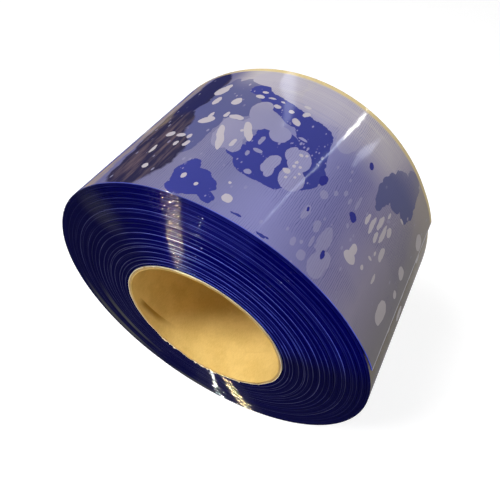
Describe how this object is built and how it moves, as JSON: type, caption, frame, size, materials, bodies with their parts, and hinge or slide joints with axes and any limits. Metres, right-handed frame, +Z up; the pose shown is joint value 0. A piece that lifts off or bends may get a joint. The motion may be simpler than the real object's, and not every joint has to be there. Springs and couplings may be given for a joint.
{
  "type": "pvc strip roll",
  "caption": "Roll of transparent dark blue plastic strip for a strip curtain, wound on an open paperboard core, with its square-cut outer end lying free.",
  "frame": {"origin": "on the floor under the middle of the roll, midway along its width", "axes": "+Y along the roll's axis, from the near wound end to the far one; +Z up; +X to the right as seen from the near end, where the strip's free outer end lies 26 degrees over +X"},
  "size_m": [0.3906, 0.2, 0.3916],
  "materials": {
    "blue_pvc": "glossy, transparent dark blue, navy where the turns lie on each other",
    "kraft_liner": "matt kraft paper",
    "core_board": "matt greyish board, cut edge",
    "pale_kraft": "matt pale kraft paper",
    "adhesive_tape": "milky double-sided tape"
  },
  "bodies": {
    "root": {"strip": "blue_pvc", "core_liner_ply": "kraft_liner", "core_body_plies": "core_board", "core_outer_ply": "pale_kraft", "start_tape": "adhesive_tape"}
  },
  "joints": []
}
